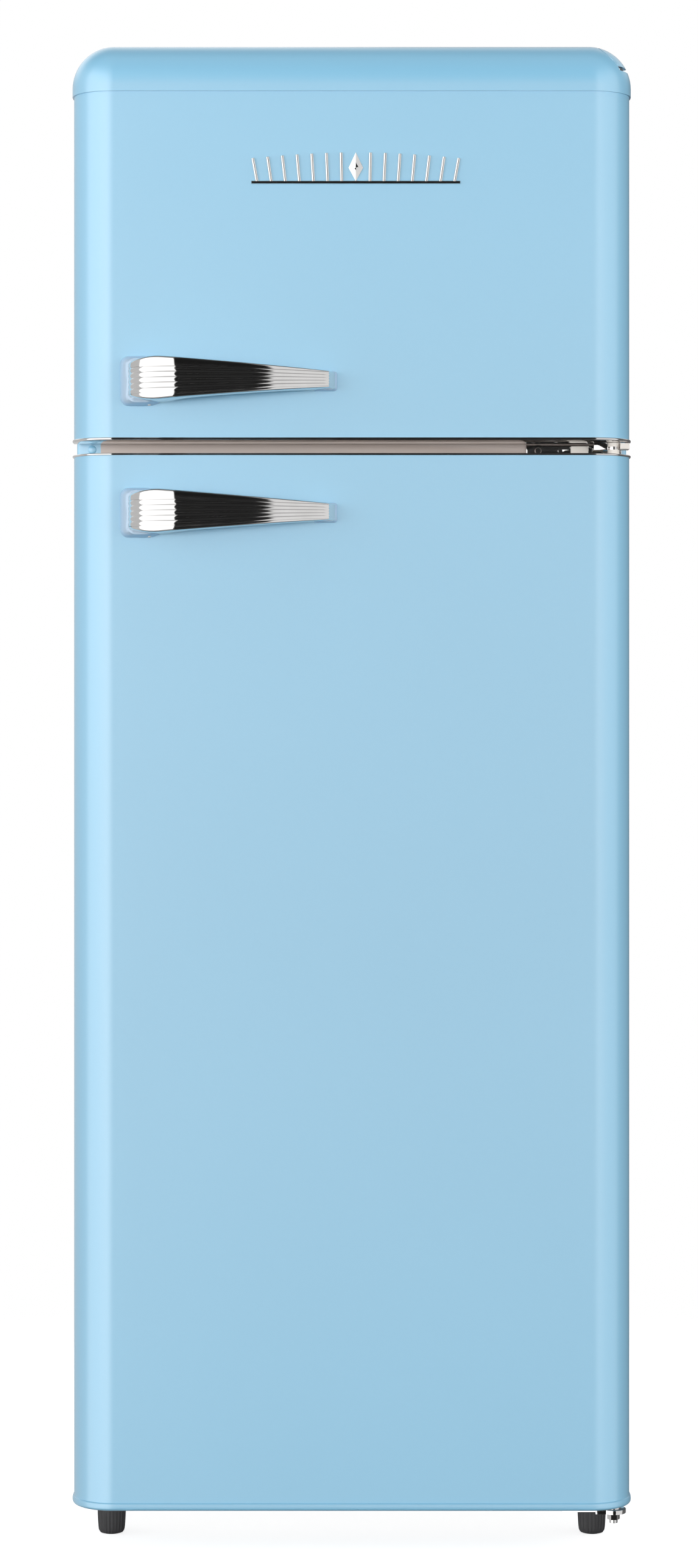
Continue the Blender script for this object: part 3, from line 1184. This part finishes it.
def make_floor():
    """Pale floor disc that fades out into the background."""
    rings, steps = (0.0, 0.6, 1.2, 2.0, 3.2, 5.0), 64
    discs = [[(max(r, 0.001) * c, max(r, 0.001) * d, FLOOR_Z) for c, d in circle(steps)] for r in rings]
    verts, faces = loft(discs, cap_end=False)
    mesh = new_mesh("floor", verts, faces)
    g = Graph("pale_floor")
    g.colour(g.ramp(g.noise(3, 3), [(0.3, (0.90, 0.90, 0.90)), (0.7, (0.93, 0.93, 0.93))]))
    g.rough(g.noise(12, 3), 0.5, 0.65)
    g.set(**{"Emission Color": (1, 1, 1, 1), "Emission Strength": 0.8})
    g.bump(g.noise(150, 3), 0.03, 0.0005)
    length = g.add("ShaderNodeVectorMath", operation="LENGTH")
    g.link(g.coords, length.inputs[0])
    fade = g.add("ShaderNodeMapRange", interpolation_type="SMOOTHSTEP")
    for key, value in (("From Min", 0.45), ("From Max", 1.1), ("To Min", 1.0), ("To Max", 0.0)):
        fade.inputs[key].default_value = value
    g.link(length.outputs["Value"], fade.inputs["Value"])
    g.link(fade.outputs[0], g.bsdf.inputs["Alpha"])
    mesh.materials.append(g.mat)
    floor = new_object("floor", mesh)
    floor.visible_glossy = False
    floor.visible_diffuse = False


SOFTBOX_LEFT, SOFTBOX_RIGHT = 0.88, 0.76
GLOSS_LEFT, GLOSS_RIGHT = 1.60, 0.84
FILL_FRONT, FILL_BACK, FILL_REAR = 0.12, 0.14, 0.45
FILL_LEFT, FILL_RIGHT = 1.5, 1.3
FILL_TOP, GLOSS_REAR = 1.1, 0.6
HORIZON = 8.0


def make_lights():
    """Two tall softboxes beside the camera; the rest of the studio is dim, and dark above."""
    wall_light("softbox_left", (-0.62, -2.83), (-1.84, -0.40), 0.95, 2.40, SOFTBOX_LEFT)
    wall_light("softbox_right", (1.45, -4.07), (1.85, -0.29), 0.95, 2.40, SOFTBOX_RIGHT)
    world = bpy.data.worlds.new("studio")
    world.use_nodes = True
    bpy.context.scene.world = world
    tree = world.node_tree
    tree.nodes.clear()

    def add(kind, **props):
        node = tree.nodes.new(kind)
        for key, value in props.items():
            setattr(node, key, value)
        return node

    def remap(socket, a, b, low, high):
        node = add("ShaderNodeMapRange", interpolation_type="SMOOTHSTEP")
        for key, value in (("From Min", a), ("From Max", b), ("To Min", low), ("To Max", high)):
            node.inputs[key].default_value = value
        tree.links.new(socket, node.inputs["Value"])
        return node.outputs[0]

    def times(a, b, operation="MULTIPLY"):
        node = add("ShaderNodeMath", operation=operation)
        tree.links.new(a, node.inputs[0])
        tree.links.new(b, node.inputs[1])
        return node.outputs[0]

    def plus(a, b):
        return times(a, b, "ADD")

    def background(strength=None):
        node = add("ShaderNodeBackground")
        node.inputs["Color"].default_value = (1, 1, 1, 1)
        if strength:
            tree.links.new(strength, node.inputs["Strength"])
        return node.outputs[0]

    def mixed(fac, a, b):
        node = add("ShaderNodeMixShader")
        for i, socket in enumerate((fac, a, b)):
            tree.links.new(socket, node.inputs[i])
        return node.outputs[0]

    split = add("ShaderNodeSeparateXYZ")
    tree.links.new(add("ShaderNodeTexCoord").outputs["Generated"], split.inputs[0])
    height = add("ShaderNodeMath", operation="ABSOLUTE")
    tree.links.new(split.outputs["Z"], height.inputs[0])
    fill = times(remap(split.outputs["Y"], -0.9, 0.3, FILL_FRONT, FILL_BACK),
                 remap(height.outputs[0], 0.1, 0.75, 1.0, 0.12))
    band = times(remap(split.outputs["Y"], -0.95, -0.4, HORIZON, 0.0),
                 remap(height.outputs[0], 0.05, 0.14, 1.0, 0.0))
    rear = remap(split.outputs["Y"], 0.5, 0.95, 0.0, FILL_REAR)
    sides = plus(remap(split.outputs["X"], -1.0, -0.7, FILL_LEFT, 0.0),
                 remap(split.outputs["X"], 0.7, 1.0, 0.0, FILL_RIGHT))
    fill = plus(plus(plus(fill, band), plus(rear, sides)), remap(split.outputs["Z"], 0.7, 1.0, 0.0, FILL_TOP))
    azimuth = add("ShaderNodeMath", operation="ARCTAN2")
    back = add("ShaderNodeMath", operation="MULTIPLY")
    back.inputs[1].default_value = -1
    tree.links.new(split.outputs["Y"], back.inputs[0])
    tree.links.new(split.outputs["X"], azimuth.inputs[0])
    tree.links.new(back.outputs[0], azimuth.inputs[1])
    angle = azimuth.outputs[0]
    left = times(remap(angle, -1.42, -1.36, 0.6, GLOSS_LEFT), remap(angle, -0.175, -0.150, 1.0, 0.0))
    right = times(remap(angle, 0.31, 0.34, 0.0, GLOSS_RIGHT), remap(angle, 1.45, 1.55, 1.0, 0.15))
    walls = times(plus(left, right), remap(height.outputs[0], 0.45, 0.85, 1.0, 0.15))
    above = times(remap(split.outputs["Y"], 0.3, 0.7, 0.0, GLOSS_REAR),
                  remap(split.outputs["Z"], 0.2, 0.45, 0.0, 1.0))
    mirror = plus(plus(walls, above), remap(height.outputs[0], 0.0, 0.9, 0.006, 0.03))
    rays = add("ShaderNodeLightPath")
    soft = mixed(rays.outputs["Is Glossy Ray"], background(fill), background(mirror))
    seen = mixed(rays.outputs["Is Camera Ray"], soft, background())
    tree.links.new(seen, add("ShaderNodeOutputWorld").inputs[0])
    bpy.context.scene.view_settings.view_transform = "Standard"


def wall_light(name, near, far, z0, z1, radiance):
    """Upright softbox over the line from near to far, facing the object."""
    a, b = Vector((*near, 0)), Vector((*far, 0))
    width, height = (b - a).length, z1 - z0
    mid = (a + b) / 2 + Vector((0, 0, (z0 + z1) / 2))
    normal = Vector((-(b - a).y, (b - a).x, 0)).normalized()
    if normal.dot(-mid) < 0:
        normal = -normal
    light = bpy.data.lights.new(name, "AREA")
    light.shape = "RECTANGLE"
    light.size, light.size_y = width, height
    light.energy = radiance * math.pi * width * height
    obj = new_object(name, light)
    obj.visible_camera = False
    obj.visible_glossy = False
    obj.location = mid
    obj.rotation_euler = normal.to_track_quat("-Z", "Y").to_euler()


# ---------------------------------------------------------------- build

make_camera()
make_floor()
make_lights()
finish_cad_nodes()

door_skin("freezer_skin", "freezer_door_skin", "freezer_door")
door_skin("fridge_skin", "fridge_door_skin", "fridge_door")
top_cap()
hinge_cover()
trim_plate("freezer_bottom_trim", "freezer_door_trim", "freezer_door", 0.9 * MM)
trim_plate("fridge_top_trim", "fridge_door_top_trim", "fridge_door", 0.8 * MM)
bottom_cap()
handle("freezer_bar_handle", "freezer_handle", "freezer_door")
handle("fridge_bar_handle", "fridge_handle", "fridge_door")
ornament()

cabinet_shell()
back_panel()
freezer_liner()
fridge_liner()
lamp_switch()
gasket("freezer_gasket", "freezer_door_gasket", "freezer_door")
gasket("fridge_gasket", "fridge_door_gasket", "fridge_door")
door_liner("freezer_inner_panel", "freezer_door_liner", "freezer_door", (1120, 1375))
door_liner("fridge_inner_panel", "fridge_door_liner", "fridge_door", (112, 1018))
door_foam("freezer_door_foam", "freezer_door_liner", "freezer_door", (1120, 1375))
door_foam("fridge_door_foam", "fridge_door_liner", "fridge_door", (112, 1018))
door_racks("freezer_racks", "freezer_door_racks", "freezer_door", ("freezer_rack_1", "freezer_rack_2"))
door_racks("fridge_racks", "fridge_door_racks", "fridge_door",
           ("fridge_rack_1", "fridge_rack_2", "fridge_rack_3"))
for level in ("upper", "middle", "lower"):
    glass_shelf("shelf_" + level, "shelf_" + level)
wire_shelf()
crisper()
thermostat()
compressor()
condenser()
pipes()
feet_and_rollers()
hardware()
